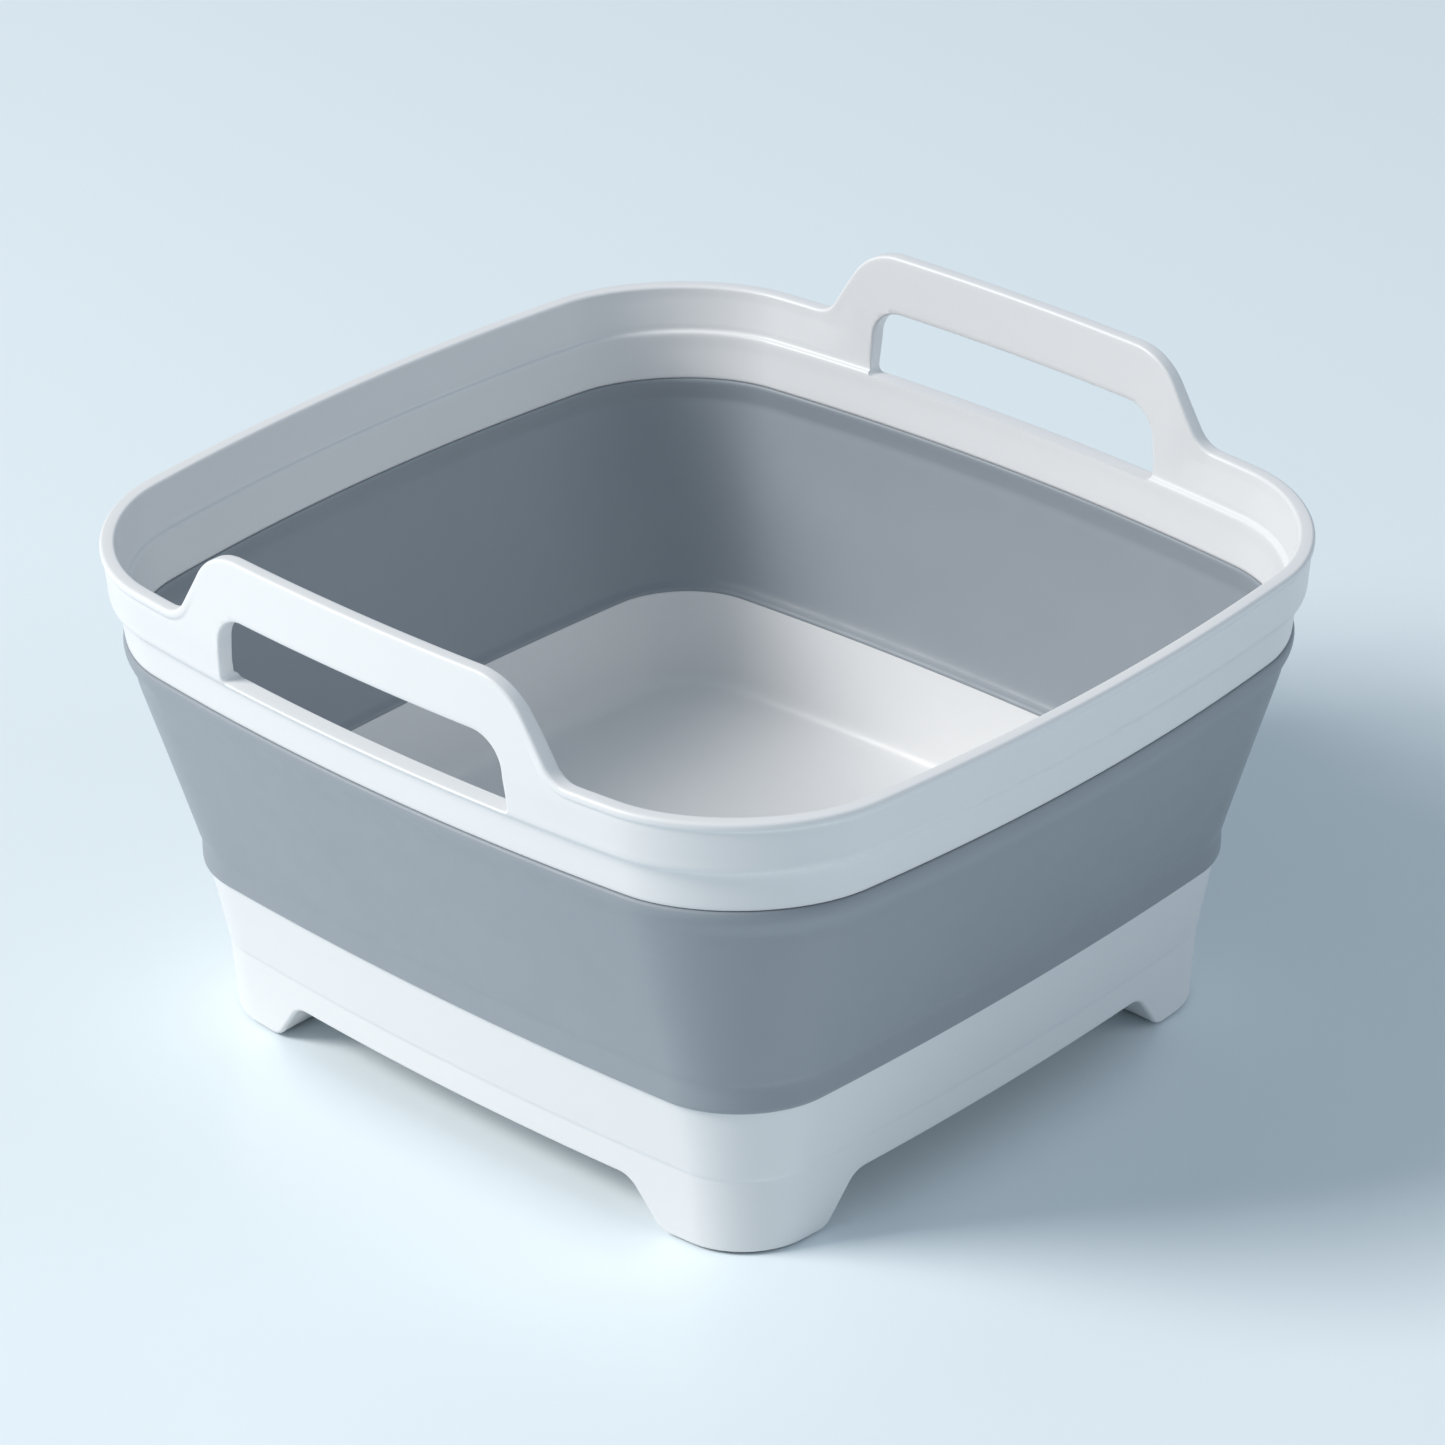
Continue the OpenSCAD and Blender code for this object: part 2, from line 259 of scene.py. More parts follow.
def rim_piece():
    half = handle_edge()
    side = [(-y, z, -ny, nz) for y, z, ny, nz in half[:0:-1]] + half[:-1]
    sy = RIM["hx"] - RIM["bx"] - RIM["r"]
    loop = Loop([s[0] for s in side], np.linspace(-sy, sy, 31)[:-1], 24)
    zed = np.full(loop.n, RIM_TOP)
    ny = np.zeros(loop.n)
    nz = -np.ones(loop.n)
    for q in (0, 2):
        m = (loop.q == q) & ~loop.corner
        zed[m] = [s[1] for s in side]
        ny[m] = [s[2] for s in side]
        nz[m] = [s[3] for s in side]
    bead = np.where(loop.on_x, smooth(82, 103, np.abs(loop.f)), 1.0)
    E = 4.6
    base_f = loop.f + E * ny * loop.on_x
    rows = []

    def low(d, z):
        rows.append(loop.rim(d, z, base_f))

    def edge(d, e):
        rows.append(loop.rim(d, zed + e * nz, loop.f + e * ny * loop.on_x))

    z_top = zed + E * nz
    # up the outside
    for d, z in spline([(7.1, SEAM), (6.62, SEAM + 0.12), (6.38, SEAM + 0.6), (6.2, SEAM + 1.8), (5.65, SEAM + 7.4)], 1.2)[:-1]:
        low(d, z)
    for d, z in spline([(5.65, 168.6), (5.3, 171.6), (4.95, 174.0), (4.45, 175.8), (3.65, 177.0), (2.6, 177.9), (1.8, 178.9), (1.42, 180.4), (1.3, 182.6)], 0.6):
        low(d, z)

    def out_d(z):
        return np.interp(z, [182.6, 193.0, 200.0], [1.3, 0.42, 0.3])

    K = 16
    for k in range(1, K):
        t = k / K
        z = mix(182.6, z_top, t)
        rows.append(loop.rim(out_d(z), z, base_f))

    def tall_in(z):
        return np.interp(z, [183.4, 197.0, 205.0, 219.0, 231.0], [7.35, 7.15, 6.9, 6.3, 5.9])

    d_o, d_i, R = mix(0.3, -0.6, bead), mix(tall_in(zed), 5.2, bead), mix(1.2, 1.4, bead)
    for e, d in ((4.4, 0.40), (3.9, 0.32), (3.5, 0.12), (3.15, -0.18), (2.8, -0.42), (2.4, -0.55), (1.9, -0.6)):
        edge(mix(0.3, d, bead), e)
    for w in np.radians(np.linspace(0, 90, 8)):
        edge(d_o + R - R * math.cos(w), R - R * math.sin(w))
    edge((d_o + d_i) / 2, 0.0)
    for w in np.radians(np.linspace(90, 0, 8)):
        edge(d_i - R + R * math.cos(w), R - R * math.sin(w))
    for e, d in ((1.9, 5.24), (2.6, 5.31), (3.4, 5.39), (4.4, 5.48)):
        edge(mix(tall_in(zed + e * nz), d, bead), e)

    def in_d(z):
        return mix(tall_in(z), np.interp(z, [183.4, 194.3], [7.35, 5.5]), bead)

    for k in range(K - 1, 0, -1):
        z = mix(183.4, z_top, k / K)
        rows.append(loop.rim(in_d(z), z, base_f))
    for d, z in spline([(7.35, 183.4), (7.40, 182.1), (7.50, 181.35), (7.80, 180.92), (8.35, 180.72), (8.88, 180.47), (9.22, 179.85), (9.38, 178.6), (9.6, 174.0), (9.95, 170.2), (10.5, 164.4), (10.62, 162.4)], 0.7):
        low(d, z)
    for d, z in ((10.6, 161.75), (10.42, 161.38), (10.1, SEAM), (9.8, SEAM), (9.8, SEAM - 5.2), (9.4, SEAM - 5.6), (8.0, SEAM - 5.6), (7.6, SEAM - 5.2), (7.6, SEAM)):
        low(d, z)
    verts = np.vstack(rows)
    body = build("rim_raw", verts, sleeve_faces(len(rows), loop.n))

    # finger openings: a flared cutter that follows the bow of the side
    gt, gr, half_top, half_bot, sill = 207.9, 13.0, 69.8, 72.0, 179.2
    plan = fillet_profile([(half_bot, sill), (half_top, gt), (-half_top, gt), (-half_bot, sill)], [2.4, gr, gr, 2.4], 14)
    dense = []
    for i in range(len(plan)):
        p, q = np.array(plan[i]), np.array(plan[(i + 1) % len(plan)])
        m = max(1, int(round(np.linalg.norm(q - p) / 3.0)))
        dense += [tuple(p + (q - p) * k / m) for k in range(m)]
    plan = np.array(dense)
    tang = np.roll(plan, -1, 0) - np.roll(plan, 1, 0)
    tang /= np.linalg.norm(tang, axis=1)[:, None]
    nrm = np.c_[tang[:, 1], -tang[:, 0]]
    R2 = 1.2
    soft_in = smooth(181.5, 187.0, plan[:, 1])
    rings = []

    def off(delta):
        return R2 - math.sqrt(max(0.0, R2 * R2 - (R2 - max(delta, 0)) ** 2)) if delta < R2 else 0.0

    d0 = 0.13 * R2
    slope = (off(d0) - off(d0 + 0.02)) / 0.02

    def ring(face, delta, o):
        p = plan + nrm * (np.asarray(o)[:, None] if np.ndim(o) else o)
        y, z = p[:, 0], p[:, 1]
        d = face(z) + delta
        x = RIM["hx"] - RIM["bx"] - d + RIM["bx"] * (1 - (y / (RIM["hy"] - RIM["by"] - d)) ** 2)
        return np.c_[x, y, z]

    def face_in(z):
        return np.interp(z, [176.0, 178.6, 179.85, 180.47, 180.72, 180.92, 181.35, 182.1, 183.4, 197.0, 205.0, 219.0, 231.0], [9.48, 9.38, 9.22, 8.88, 8.35, 7.80, 7.50, 7.40, 7.35, 7.15, 6.9, 6.3, 5.9])

    def face_out(z):
        return np.interp(z, [175.8, 177.0, 177.9, 178.9, 180.4, 182.6, 193.0, 200.0, 240.0], [4.45, 3.65, 2.6, 1.8, 1.42, 1.3, 0.42, 0.3, 0.3])

    rings.append(ring(lambda z: 0.0 * z, -11.0, off(d0) + slope * (2.5 + d0) + 0.6))
    rings.append(ring(lambda z: np.minimum(face_out(z), 1.6), -2.5, off(d0) + slope * (2.5 + d0)))
    for dl in (d0, 0.28 * R2, 0.48 * R2, 0.72 * R2, R2):
        rings.append(ring(face_out, dl, off(dl)))
    for dl in (R2, 0.72 * R2, 0.48 * R2, 0.28 * R2, d0):
        rings.append(ring(face_in, -dl, off(dl) * soft_in))
    rings.append(ring(face_in, 3.5, (off(d0) + slope * (3.5 + d0)) * soft_in))
    v, f = loft([[tuple(p) for p in r] for r in rings])
    cutters = []
    for s in (1, -1):
        cutters.append(build(f"cut_{'r' if s > 0 else 'l'}", [(s * p[0], s * p[1], p[2]) for p in v], f))
    cutter = join(cutters[0], cutters[1:], "cutter")
    tidy(cutter)
    mod = body.modifiers.new("holes", "BOOLEAN")
    mod.operation, mod.solver, mod.object = "DIFFERENCE", "EXACT", cutter
    dg = bpy.context.evaluated_depsgraph_get()
    mesh = bpy.data.meshes.new_from_object(body.evaluated_get(dg))
    rim = bpy.data.objects.new("rim", mesh)
    bpy.context.scene.collection.objects.link(rim)
    for o in (body, cutter):
        bpy.data.objects.remove(o)
    tidy(rim, 34, 0.004)
    return rim


# ---------------------------------------------------------------------------
# Soft folding wall
# ---------------------------------------------------------------------------
def wall_piece():
    fx = np.linspace(-1, 1, 33)[:-1] * (RIM["hy"] - RIM["by"] - RIM["r"])
    fy = np.linspace(-1, 1, 31)[:-1] * (RIM["hx"] - RIM["bx"] - RIM["r"])
    loop = Loop(fx, fy, 22)
    gx, gy = 149.7 - 35.6, 140.9 - 35.6

    def row(u, d, z):
        f = np.where(loop.q % 2 == 0, loop.f * mix(1, gx / (RIM["hy"] - RIM["by"] - RIM["r"]), u), loop.f * mix(1, gy / (RIM["hx"] - RIM["bx"] - RIM["r"]), u))
        return loop.wall(u, d, z, f)

    ct, cl = SEAM - 13.5, SEAM_LOW + 13.5
    outer = spline([(1, 1.25, SEAM_LOW), (1, 0.55, SEAM_LOW + 0.12), (1, 0.12, SEAM_LOW + 0.7), (1, 0.0, SEAM_LOW + 1.8), (1, 0.0, 70.5), (1, 0.0, 74.4), (0.994, 0.02, 75.9), (0.975, 0.1, 77.2), (0.945, 0.1, 78.8),
                    (0.925, 0.0, 81.0), (0.86, 0.0, 86.5), (0.7, 0.0, 100.0), (0.5, 0.0, 116.8), (0.3, 0.0, 133.4), (0.175, 0.0, 144.0), (0.152, 0.0, 146.2), (0.138, 0.0, 147.8),
                    (0.128, 0.0, 148.9), (0.114, 0.0, 150.0), (0.075, 0.0, 152.2), (0.035, 0.0, 154.3), (0.009, 0.0, 155.8), (0.0, -0.12, 157.0), (0.0, -0.3, 158.6), (0.0, -0.16, 160.0), (0.0, 0.25, 160.75), (0.0, 0.7, SEAM - 0.3)], 1.7)
    groove = [(0, 1.5, SEAM - 0.3), (0, 1.5, SEAM - 6.2), (0, 4.3, SEAM - 6.2), (0, 4.3, SEAM - 0.3)]
    inner = spline([(0, 4.8, SEAM - 0.3), (0, 5.2, SEAM - 0.5), (0, 5.4, SEAM - 1.3), (0, 5.15, 157.6), (0.0, 4.85, 155.6), (0.03, 3.85, 153.6), (0.07, 2.75, 151.8), (0.1, 2.35, 150.4), (0.122, 2.25, 148.9), (0.148, 2.2, 146.6),
                    (0.175, 2.2, 144.0), (0.3, 2.2, 132.6), (0.5, 2.2, 116.0), (0.7, 2.2, 99.2), (0.86, 2.2, 86.2), (0.925, 2.3, 81.6), (0.955, 2.7, 79.8), (0.985, 3.5, 78.9), (1.0, 4.1, 78.2), (1.0, 4.3, 77.6), (1.0, 4.2, TRAY_TOP + 0.02)], 1.7)
    lap = [(1, 1.65, TRAY_TOP + 0.02), (1, 1.65, 71.0), (1, 1.65, SEAM_LOW + 0.2)]
    rows = [row(*p) for p in [*outer, *groove, *inner, *lap]]
    return build("folding_wall_soft", np.vstack(rows), sleeve_faces(len(rows), loop.n), 50)


# ---------------------------------------------------------------------------
# Base tray
# ---------------------------------------------------------------------------
LEG_Z, ARCH_Z, ARCH_X, ARCH_Y = 1.0, 19.4, 93.0, 100.0
STEP_Z, TRAY_T = 32.8, 2.6
S_TAN = 1.3514
PHI = math.atan(S_TAN)


def arch_edge(w, end, fine=9):
    """Half of one side's lower edge as (t, z, nt, nz): soffit, S-shaped flank, foot."""
    r1, r2 = 8.0, 9.5
    t0 = w - 5.4 + (7.95 - LEG_Z) / S_TAN
    t1 = w - 5.4 - (ARCH_Z - 7.95) / S_TAN
    l1, l2 = r1 * math.tan(PHI / 2), r2 * math.tan(PHI / 2)
    pts = [(t, ARCH_Z, 0.0, 1.0) for t in np.linspace(0, t1 - l2, 13)[:-1]]
    c = (t1 - l2, ARCH_Z - r2)
    for a in np.linspace(math.pi / 2, math.pi / 2 - PHI, fine)[:-1]:
        pts.append((c[0] + r2 * math.cos(a), c[1] + r2 * math.sin(a), math.cos(a), math.sin(a)))
    a0 = (t1 + l2 * math.cos(PHI), ARCH_Z - l2 * math.sin(PHI))
    a1 = (t0 - l1 * math.cos(PHI), LEG_Z + l1 * math.sin(PHI))
    for k in np.linspace(0, 1, 6)[:-1]:
        pts.append((mix(a0[0], a1[0], k), mix(a0[1], a1[1], k), math.sin(PHI), math.cos(PHI)))
    c = (t0 + l1, LEG_Z + r1)
    for a in np.linspace(1.5 * math.pi - PHI, 1.5 * math.pi, fine)[:-1]:
        pts.append((c[0] + r1 * math.cos(a), c[1] + r1 * math.sin(a), -math.cos(a), -math.sin(a)))
    for t in np.linspace(c[0], end, 4):
        pts.append((t, LEG_Z, 0.0, 1.0))
    return pts


def flank(w, z):
    """Where the void under the tray ends at height z, for an arch of half width w."""
    pts = [p for p in arch_edge(w, w + 10, 17) if p[0] > w - 18.5]
    zs, ts = [p[1] for p in pts][::-1], [p[0] for p in pts][::-1]
    return float(np.interp(z, zs, ts))


def tray_piece():
    ex, ey = 149.7 - 35.6, 140.9 - 35.6
    hx_, hy_ = arch_edge(ARCH_Y, ex), arch_edge(ARCH_X, ey)
    sx = [(-t, z, -a, b) for t, z, a, b in hx_[:0:-1]] + hx_[:-1]
    sy = [(-t, z, -a, b) for t, z, a, b in hy_[:0:-1]] + hy_[:-1]
    loop = Loop([s[0] for s in sx], [s[0] for s in sy], 20)
    zed, nt, nz = np.full(loop.n, LEG_Z), np.zeros(loop.n), np.ones(loop.n)
    for q in range(4):
        m = (loop.q == q) & ~loop.corner
        src = sx if q % 2 == 0 else sy
        zed[m], nt[m], nz[m] = [s[1] for s in src], [s[2] for s in src], [s[3] for s in src]
    side = ~loop.corner
    E = 3.0
    base_f = loop.f + E * nt * side
    z_edge = zed + E * nz

    def face(z):
        return np.interp(z, [1.0, 3.2, 31.6], [9.95, 9.9, 8.2])

    rows = []

    def low(d, z):
        rows.append(loop.wall(1.0, d, z, base_f))

    def edge(d, e):
        z = zed + e * nz
        rows.append(loop.wall(1.0, face(z) + d, z, loop.f + e * nt * side))

    R = 1.5
    for a in np.radians(np.linspace(0, 90, 7)):
        edge(R * (1 - math.sin(a)), R * (1 - math.cos(a)))
    edge(0.0, 2.2)
    edge(0.0, E)
    K = 9
    for k in range(1, K):
        z = mix(z_edge, 31.2, k / K)
        rows.append(loop.wall(1.0, face(z), z, base_f))
    for d, z in spline([(8.22, 31.2), (8.14, 31.9), (7.98, 32.5), (7.74, 33.0), (7.5, 33.7), (7.28, 35.0), (5.6, 44.4), (3.65, 55.5), (1.85, 65.6), (1.8, 67.0), (1.8, TRAY_TOP - 0.6)], 1.8):
        low(d, z)
    for d, z in ((1.95, TRAY_TOP - 0.15), (2.3, TRAY_TOP), (3.8, TRAY_TOP), (4.15, TRAY_TOP - 0.15), (4.3, TRAY_TOP - 0.6)):
        low(d, z)
    for d, z in spline([(4.32, 75.6), (5.1, 70.0), (6.3, 61.5), (7.6, 52.5), (8.5, 46.3), (8.85, 43.8), (9.45, 41.6), (10.5, 39.6), (12.1, 38.1), (14.2, 37.25), (16.8, FLOOR)], 1.4):
        low(d, z)
    floor_ring = rows[-1]
    ang = np.arctan2(floor_ring[:, 1], floor_ring[:, 0])
    circ = np.c_[np.cos(ang), np.sin(ang)]
    outer = floor_ring[:, :2]

    def to_circle(t, rad, z):
        rows.append(np.c_[outer * (1 - t) + circ * rad * t, np.full(loop.n, z)])

    for t in (0.12, 0.28, 0.45, 0.62, 0.78, 0.9):
        to_circle(t, 28.0, FLOOR)
    for rad, z in ((27.7, FLOOR), (27.25, FLOOR - 0.12), (27.0, FLOOR - 0.4), (27.0, 36.0), (26.8, 35.8), (19.6, 35.8), (19.2, 35.65), (19.0, 35.3), (19.0, 30.0), (19.3, 29.5), (19.7, 29.4), (26.4, 29.4), (26.85, 29.55), (27.0, 30.0), (27.0, 33.4), (27.3, 34.1), (28.0, 34.4)):
        to_circle(1.0, rad, z)
    for t in (0.8, 0.55, 0.3):
        to_circle(t, 28.0, 34.4)
    low(13.2, 34.4)
    low(12.0, 34.1)
    low(11.2, 33.2)
    low(10.95, 31.6)
    z_in = zed + 3.0 * nz
    for k in range(K - 1, 0, -1):
        z = mix(z_in, 31.2, k / K)
        rows.append(loop.wall(1.0, face(z) + 2.7, z, base_f))
    for e, d in ((3.0, 2.7), (1.2, 2.7), (0.5, 2.6), (0.12, 2.35), (0.0, 2.0)):
        edge(d, e)
    parts = [build("tray_raw", np.vstack(rows), sleeve_faces(len(rows), loop.n), 38)]

    # inner walls of the boxed legs
    levels = [1.35, 1.6, 2.0, 2.6, 3.4, 4.6, 6.2, 8.0, 10.0, 12.0, 13.8, 15.4, 16.8, 17.8, 18.6, 19.15, 19.4, 22.0, 28.0, 34.6]

    def skirt(t, z, on_x):
        d = float(face(np.array(min(z, 31.0)))) + 1.4
        hx, hy = 147.8 - d, 155.8 - d
        a, b = hx - 6.9, hy - 6.1
        return a + 6.9 * (1 - (t / b) ** 2) if on_x else b + 6.1 * (1 - (t / a) ** 2)

    for sx_ in (1, -1):
        for sy_ in (1, -1):
            rings = []
            for z in levels:
                fx_, fy_ = flank(ARCH_X, z) + 0.22, flank(ARCH_Y, z) + 0.22
                xs, ys = skirt(fy_, z, True), skirt(fx_, z, False)
                th = 2.4
                poly = fillet_profile([(xs, fy_), (fx_, fy_), (fx_, ys), (fx_ + th, ys), (fx_ + th, fy_ + th), (xs, fy_ + th)],
                                      [0, 3.2, 0, 0, 0.8, 0], 6)
                rings.append([(sx_ * x, sy_ * y, z) for x, y in poly])
            v, f = loft(rings)
            parts.append(build(f"leg_{sx_}_{sy_}", v, f, 30))
    # low stiffening ribs under the floor
    for k in range(8):
        a = math.radians(45 * k)
        ln = 118.0 if k % 2 == 0 else 121.0
        c, s = math.cos(a), math.sin(a)
        rings = []
        for r, depth in ((25.0, 2.4), (60.0, 2.2), (100.0, 1.7), (ln, 1.2)):
            sec = [(-0.9, 34.9), (-0.9, 34.4 - depth + 0.4), (-0.55, 34.4 - depth), (0.55, 34.4 - depth), (0.9, 34.4 - depth + 0.4), (0.9, 34.9)]
            rings.append([(r * c - w * s, r * s + w * c, z) for w, z in sec])
        v, f = loft(rings)
        parts.append(build(f"rib_{k}", v, f, 30))
    tray = join(parts[0], parts[1:], "tray")
    tidy(tray, 38)
    return tray


# ---------------------------------------------------------------------------
# Rubber foot pads
# ---------------------------------------------------------------------------
def pad_piece(name, sx, sy):
    loop = Loop(np.linspace(-1, 1, 25)[:-1] * 114.1, np.linspace(-1, 1, 25)[:-1] * 105.3, 20)

    def plan(inset, x0, y0, rc):
        p = loop.wall(1.0, inset + rc, 0.0)[:, :2]
        x0, y0 = x0 + rc, y0 + rc
        dense = np.vstack([p[i] + (p[(i + 1) % len(p)] - p[i]) * np.arange(6)[:, None] / 6 for i in range(len(p))])
        keep = dense[(dense[:, 0] > x0) & (dense[:, 1] > y0)]
        keep = keep[np.argsort(np.arctan2(keep[:, 1] - y0, keep[:, 0] - x0))]
        pts, nrm = [], []
        tan = np.gradient(keep, axis=0)
        tan /= np.linalg.norm(tan, axis=1)[:, None]
        out = np.c_[tan[:, 1], -tan[:, 0]]

        def fan(p, a0, a1, n=5):
            for k in range(n):
                a = math.radians(a0 + (a1 - a0) * k / (n - 1))
                pts.append(p), nrm.append((math.cos(a), math.sin(a)))

        e0 = math.degrees(math.atan2(out[0][1], out[0][0]))
        e1 = math.degrees(math.atan2(out[-1][1], out[-1][0]))
        fan((x0, y0), 180, 270)
        fan((keep[0][0], y0), -90, e0)
        for i in range(0, len(keep), 3):
            pts.append(tuple(keep[i])), nrm.append(tuple(out[i]))
        fan((x0, keep[-1][1]), e1, 180)
        return np.array(pts), np.array(nrm)

    P, Nn = plan(11.9, ARCH_X + 4.2, ARCH_Y + 4.2, 2.0)
    centre = P.mean(0)
    rings = []

    def ring(delta, z, shrink=1.0):
        q = centre + (P + Nn * (2.0 - delta) - centre) * shrink
        rings.append([(sx * x, sy * y, z) for x, y in q])

    # a grip groove in the sole, the rounded sole, the flange, then the plug inside the leg
    ring(0.0, 0.45, 0.30)
    ring(0.0, 0.45, 0.44)
    ring(0.0, 0.0, 0.48)
    ring(0.0, 0.0, 0.60)
    ring(0.0, 0.45, 0.64)
    ring(0.0, 0.45, 0.72)
    ring(0.0, 0.0, 0.76)
    ring(0.35, 0.0)
    ring(0.1, 0.1)
    ring(0.0, 0.35)
    ring(0.0, 0.98)
    ring(0.0, 0.98, 0.9)
    P2, N2 = plan(14.4, ARCH_X + 4.2, ARCH_Y + 4.2, 2.0)
    if len(P2) != len(P):
        P2, N2 = P * 1.0, Nn
        P2 = centre + (P - centre) * 0.88
    for dz, sh in ((0.99, 1.0), (5.4, 1.0), (5.9, 0.97)):
        q = centre + (P2 + N2 * 2.0 - centre) * sh
        rings.append([(sx * x, sy * y, dz) for x, y in q])
    v, f = loft(rings)
    return build(name, v, f, 32)


# ---------------------------------------------------------------------------
# Drain plug and seal
# ---------------------------------------------------------------------------
def plug_pieces():
    z0 = 35.8
    prof = fillet_profile([(0.6, z0 + 2.05), (0.6, z0 + 0.4), (13.4, z0 + 0.4), (13.4, z0 - 9.0), (15.8, z0 - 9.0), (15.8, z0), (26.0, z0), (26.0, z0 + 2.1), (20.0, z0 + 2.4), (18.4, z0 + 2.05)],
                          [0.1, 0.1, 0.4, 0.5, 0.6, 0.6, 0.35, 1.0, 1.4, 1.4], 5)
    v, f = lathe(prof)
    disc = build("plug_disc", v, f, 40)
    v, f = lathe([(0.0001, z0 + 2.05), (0.6001, z0 + 2.05), (0.6001, z0 + 1.0), (0.0001, z0 + 1.0)], 128)
    core = build("plug_core", v, f, 40)
    rings = []
    for k, (dz, grow) in enumerate(((1.9, 0.9), (2.3, 0.45), (2.9, 0.1), (3.8, 0.0), (7.6, 0.0), (8.5, -0.25), (8.95, -0.7), (9.0, -1.1))):
        hx, hy = 14.0 + grow, 1.6 + grow
        hy = max(hy, 0.45)
        r = hy * 0.98
        ring = []
        for c, sgn in (((hx - r, 0), 1), ((-(hx - r), 0), -1)):
            for i in range(13):
                a = math.radians(-90 + 180 * i / 12) if sgn > 0 else math.radians(90 + 180 * i / 12)
                ring.append((c[0] + r * math.cos(a), c[1] + hy * math.sin(a), z0 + dz))
        rings.append(ring)
    v, f = loft(rings)
    bar = build("plug_bar", v, f, 30)
    plug = join(disc, [core, bar], "plug")
    tidy(plug, 35)
    s = z0 - 6.0
    prof = fillet_profile([(15.85, s), (17.6, s), (18.7, s + 1.4), (18.7, s + 2.2), (17.6, s + 3.6), (15.85, s + 3.6)], [0.1, 0.5, 0.4, 0.4, 0.5, 0.1], 4)
    v, f = lathe(prof)
    seal = build("seal", v, f, 30)
    return plug, seal


# ---------------------------------------------------------------------------
# Materials
# ---------------------------------------------------------------------------
def add(nt, kind, **kw):
    n = nt.nodes.new(kind)
    for k, v in kw.items():
        setattr(n, k, v)
    return n


def moulded(name, light, dark, rough, rough_var, grain_scale, grain, sheen=0.0, ior=1.49, sss=0.0, streak=0.0, spec=0.5):
    """Moulded plastic or rubber: slow tone drift, fine spark-eroded grain, uneven gloss and faint handling marks."""
    m = bpy.data.materials.new(name)
    m.use_nodes = True
    nt = m.node_tree
    b = nt.nodes["Principled BSDF"]
    co = add(nt, "ShaderNodeTexCoord")
    slow = add(nt, "ShaderNodeTexNoise")
    slow.inputs["Scale"].default_value = 9.0
    slow.inputs["Detail"].default_value = 3.0
    fine = add(nt, "ShaderNodeTexNoise")
    fine.inputs["Scale"].default_value = grain_scale
    fine.inputs["Detail"].default_value = 4.0
    fine.inputs["Roughness"].default_value = 0.62
    mid = add(nt, "ShaderNodeTexNoise")
    mid.inputs["Scale"].default_value = 70.0
    mid.inputs["Detail"].default_value = 5.0
    scuff = add(nt, "ShaderNodeTexNoise")
    scuff.inputs["Scale"].default_value = 160.0
    scuff.inputs["Detail"].default_value = 2.0
    stretch = add(nt, "ShaderNodeMapping")
    stretch.inputs["Scale"].default_value = (0.25, 1.0, 2.4)
    for n in (slow, fine, mid):
        nt.links.new(co.outputs["Object"], n.inputs["Vector"])
    nt.links.new(co.outputs["Object"], stretch.inputs["Vector"])
    nt.links.new(stretch.outputs["Vector"], scuff.inputs["Vector"])
    ramp = add(nt, "ShaderNodeValToRGB")
    ramp.color_ramp.elements[0].position, ramp.color_ramp.elements[0].color = 0.3, (*dark, 1)
    ramp.color_ramp.elements[1].position, ramp.color_ramp.elements[1].color = 0.7, (*light, 1)
    blend = add(nt, "ShaderNodeMath", operation="MULTIPLY_ADD")
    blend.inputs[1].default_value = 0.3
    nt.links.new(fine.outputs["Fac"], blend.inputs[0])
    half = add(nt, "ShaderNodeMath", operation="MULTIPLY")
    half.inputs[1].default_value = 0.7
    nt.links.new(slow.outputs["Fac"], half.inputs[0])
    nt.links.new(half.outputs[0], blend.inputs[2])
    nt.links.new(blend.outputs[0], ramp.inputs["Fac"])
    nt.links.new(ramp.outputs["Color"], b.inputs["Base Color"])
    rr = add(nt, "ShaderNodeMapRange")
    rr.inputs["From Min"].default_value, rr.inputs["From Max"].default_value = 0.3, 0.7
    rr.inputs["To Min"].default_value, rr.inputs["To Max"].default_value = rough - rough_var, rough + rough_var
    nt.links.new(mid.outputs["Fac"], rr.inputs["Value"])
    sc = add(nt, "ShaderNodeMapRange")
    sc.inputs["From Min"].default_value, sc.inputs["From Max"].default_value = 0.62, 0.75
    sc.inputs["To Min"].default_value, sc.inputs["To Max"].default_value = 0.0, streak
    nt.links.new(scuff.outputs["Fac"], sc.inputs["Value"])
    total = add(nt, "ShaderNodeMath", operation="ADD")
    nt.links.new(rr.outputs["Result"], total.inputs[0])
    nt.links.new(sc.outputs["Result"], total.inputs[1])
    nt.links.new(total.outputs[0], b.inputs["Roughness"])
    bump = add(nt, "ShaderNodeBump")
    bump.inputs["Strength"].default_value = 1.0
    bump.inputs["Distance"].default_value = grain
    nt.links.new(fine.outputs["Fac"], bump.inputs["Height"])
    wave = add(nt, "ShaderNodeBump")
    wave.inputs["Strength"].default_value = 1.0
    wave.inputs["Distance"].default_value = 0.00006
    nt.links.new(slow.outputs["Fac"], wave.inputs["Height"])
    nt.links.new(bump.outputs["Normal"], wave.inputs["Normal"])
    nt.links.new(wave.outputs["Normal"], b.inputs["Normal"])
    b.inputs["IOR"].default_value = ior
    b.inputs["Specular IOR Level"].default_value = spec
    if sheen:
        b.inputs["Sheen Weight"].default_value = sheen
        b.inputs["Sheen Roughness"].default_value = 0.5
    if sss:
        b.inputs["Subsurface Weight"].default_value = sss
        b.inputs["Subsurface Radius"].default_value = (0.004, 0.003, 0.0025)
        b.inputs["Subsurface Scale"].default_value = 1.0
    return m


def paint(o, m):
    o.data.materials.clear()
    o.data.materials.append(m)


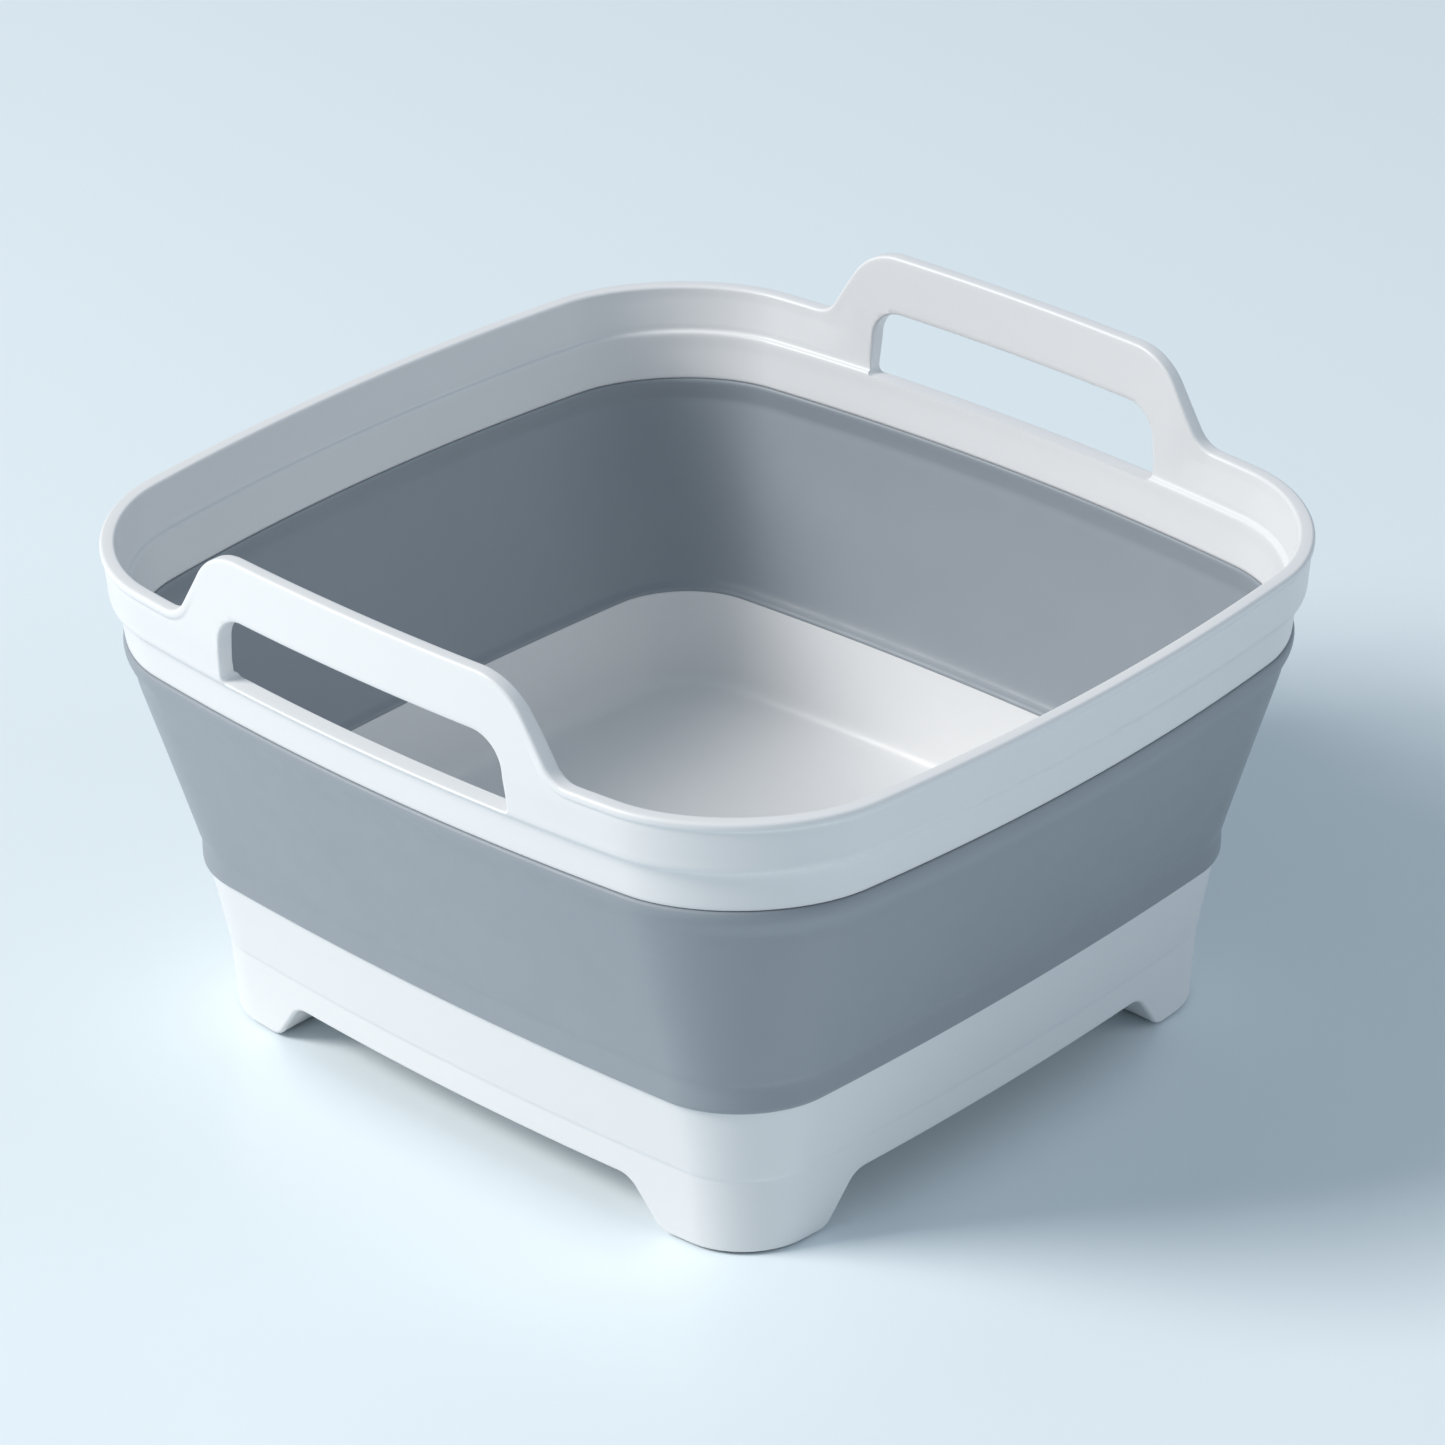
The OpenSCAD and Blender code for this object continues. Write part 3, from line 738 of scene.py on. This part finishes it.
white_rim = moulded("white_polypropylene_rim", (0.85, 0.85, 0.852), (0.825, 0.827, 0.832), 0.36, 0.05, 1500.0, 0.00002, streak=0.06)
white_tray = moulded("white_polypropylene_tray", (0.848, 0.848, 0.85), (0.823, 0.825, 0.83), 0.40, 0.05, 1500.0, 0.00002, streak=0.06)
tpr = moulded("grey_thermoplastic_rubber", (0.305, 0.339, 0.376), (0.287, 0.320, 0.355), 0.50, 0.05, 2200.0, 0.000025, sheen=0.12, ior=1.5, streak=0.05)
pad_rubber = moulded("dark_pad_rubber", (0.035, 0.038, 0.043), (0.022, 0.024, 0.028), 0.72, 0.07, 2600.0, 0.00008, sheen=0.15, streak=0.05)
plug_white = moulded("white_polypropylene_plug", (0.86, 0.865, 0.87), (0.83, 0.837, 0.845), 0.34, 0.05, 1800.0, 0.00002, streak=0.06)
seal_rubber = moulded("grey_seal_rubber", (0.27, 0.31, 0.35), (0.24, 0.28, 0.32), 0.6, 0.06, 2400.0, 0.00004, sheen=0.12)

# ---------------------------------------------------------------------------
# Pieces
# ---------------------------------------------------------------------------
rim = rim_piece()
paint(rim, white_rim)
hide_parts("rim_frame")
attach(rim, "rim")

wall = wall_piece()
paint(wall, tpr)
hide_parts("folding_wall")
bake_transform(wall)

tray = tray_piece()
paint(tray, white_tray)
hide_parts("base_tray")
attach(tray, "base")

for node, sx, sy in (("foot_pad_front_left", -1, -1), ("foot_pad_front_right", 1, -1), ("foot_pad_rear_left", -1, 1), ("foot_pad_rear_right", 1, 1)):
    pad = pad_piece("sole_" + node[9:], sx, sy)
    paint(pad, pad_rubber)
    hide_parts(node)
    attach(pad, "base")

plug, seal = plug_pieces()
paint(plug, plug_white)
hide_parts("drain_plug")
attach(plug, "plug")
paint(seal, seal_rubber)
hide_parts("plug_seal")
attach(seal, "plug")

# ---------------------------------------------------------------------------
# Floor, lights, camera
# ---------------------------------------------------------------------------
floor_mesh = bpy.data.meshes.new("floor")
S = 14.0
floor_mesh.from_pydata([(-S, -S, 0), (S, -S, 0), (S, S, 0), (-S, S, 0)], [], [(0, 1, 2, 3)])
floor = bpy.data.objects.new("floor", floor_mesh)
bpy.context.scene.collection.objects.link(floor)
fm = bpy.data.materials.new("pale_floor")
fm.use_nodes = True
fb = fm.node_tree.nodes["Principled BSDF"]
fb.inputs["Base Color"].default_value = (0.87, 0.95, 0.99, 1)
fb.inputs["Roughness"].default_value = 0.24
fb.inputs["Specular IOR Level"].default_value = 0.35
paint(floor, fm)

scene = bpy.context.scene
world = bpy.data.worlds.new("studio")
scene.world = world
world.use_nodes = True
bg = world.node_tree.nodes["Background"]
bg.inputs["Color"].default_value = (0.73, 0.87, 1.0, 1)
bg.inputs["Strength"].default_value = 0.395


def area(name, loc, target, size, power, color=(1, 1, 1), size_y=None):
    d = bpy.data.lights.new(name, "AREA")
    d.shape = "RECTANGLE"
    d.size, d.size_y = size, size_y or size
    d.energy = power
    d.color = color
    o = bpy.data.objects.new(name, d)
    o.location = loc
    o.rotation_mode = "QUATERNION"
    o.rotation_quaternion = (Vector(target) - Vector(loc)).to_track_quat("-Z", "Y")
    scene.collection.objects.link(o)
    return o


area("key", (-3.70, 2.83, 3.85), (0, 0, 0.1), 2.3, 310, (1.0, 0.975, 0.945))
area("fill", (2.35, -4.07, 2.2), (0, 0, 0.1), 2.5, 37, (0.88, 0.94, 1.0))

cam_data = bpy.data.cameras.new("camera")
cam = bpy.data.objects.new("camera", cam_data)
scene.collection.objects.link(cam)
right = Vector((0.683683, -0.729644, -0.014069))
up = Vector((0.355588, 0.31623, 0.87952))
fwd = Vector((0.637287, 0.606316, -0.475654))
m = Matrix((right, up, -fwd)).transposed().to_4x4()
m.translation = Vector((-1.38429, -1.32374, 1.15329))
cam.matrix_world = m
cam_data.lens = 145.347
cam_data.sensor_width = 36.0
cam_data.clip_start, cam_data.clip_end = 0.05, 100
scene.camera = cam
scene.view_settings.view_transform = "Standard"
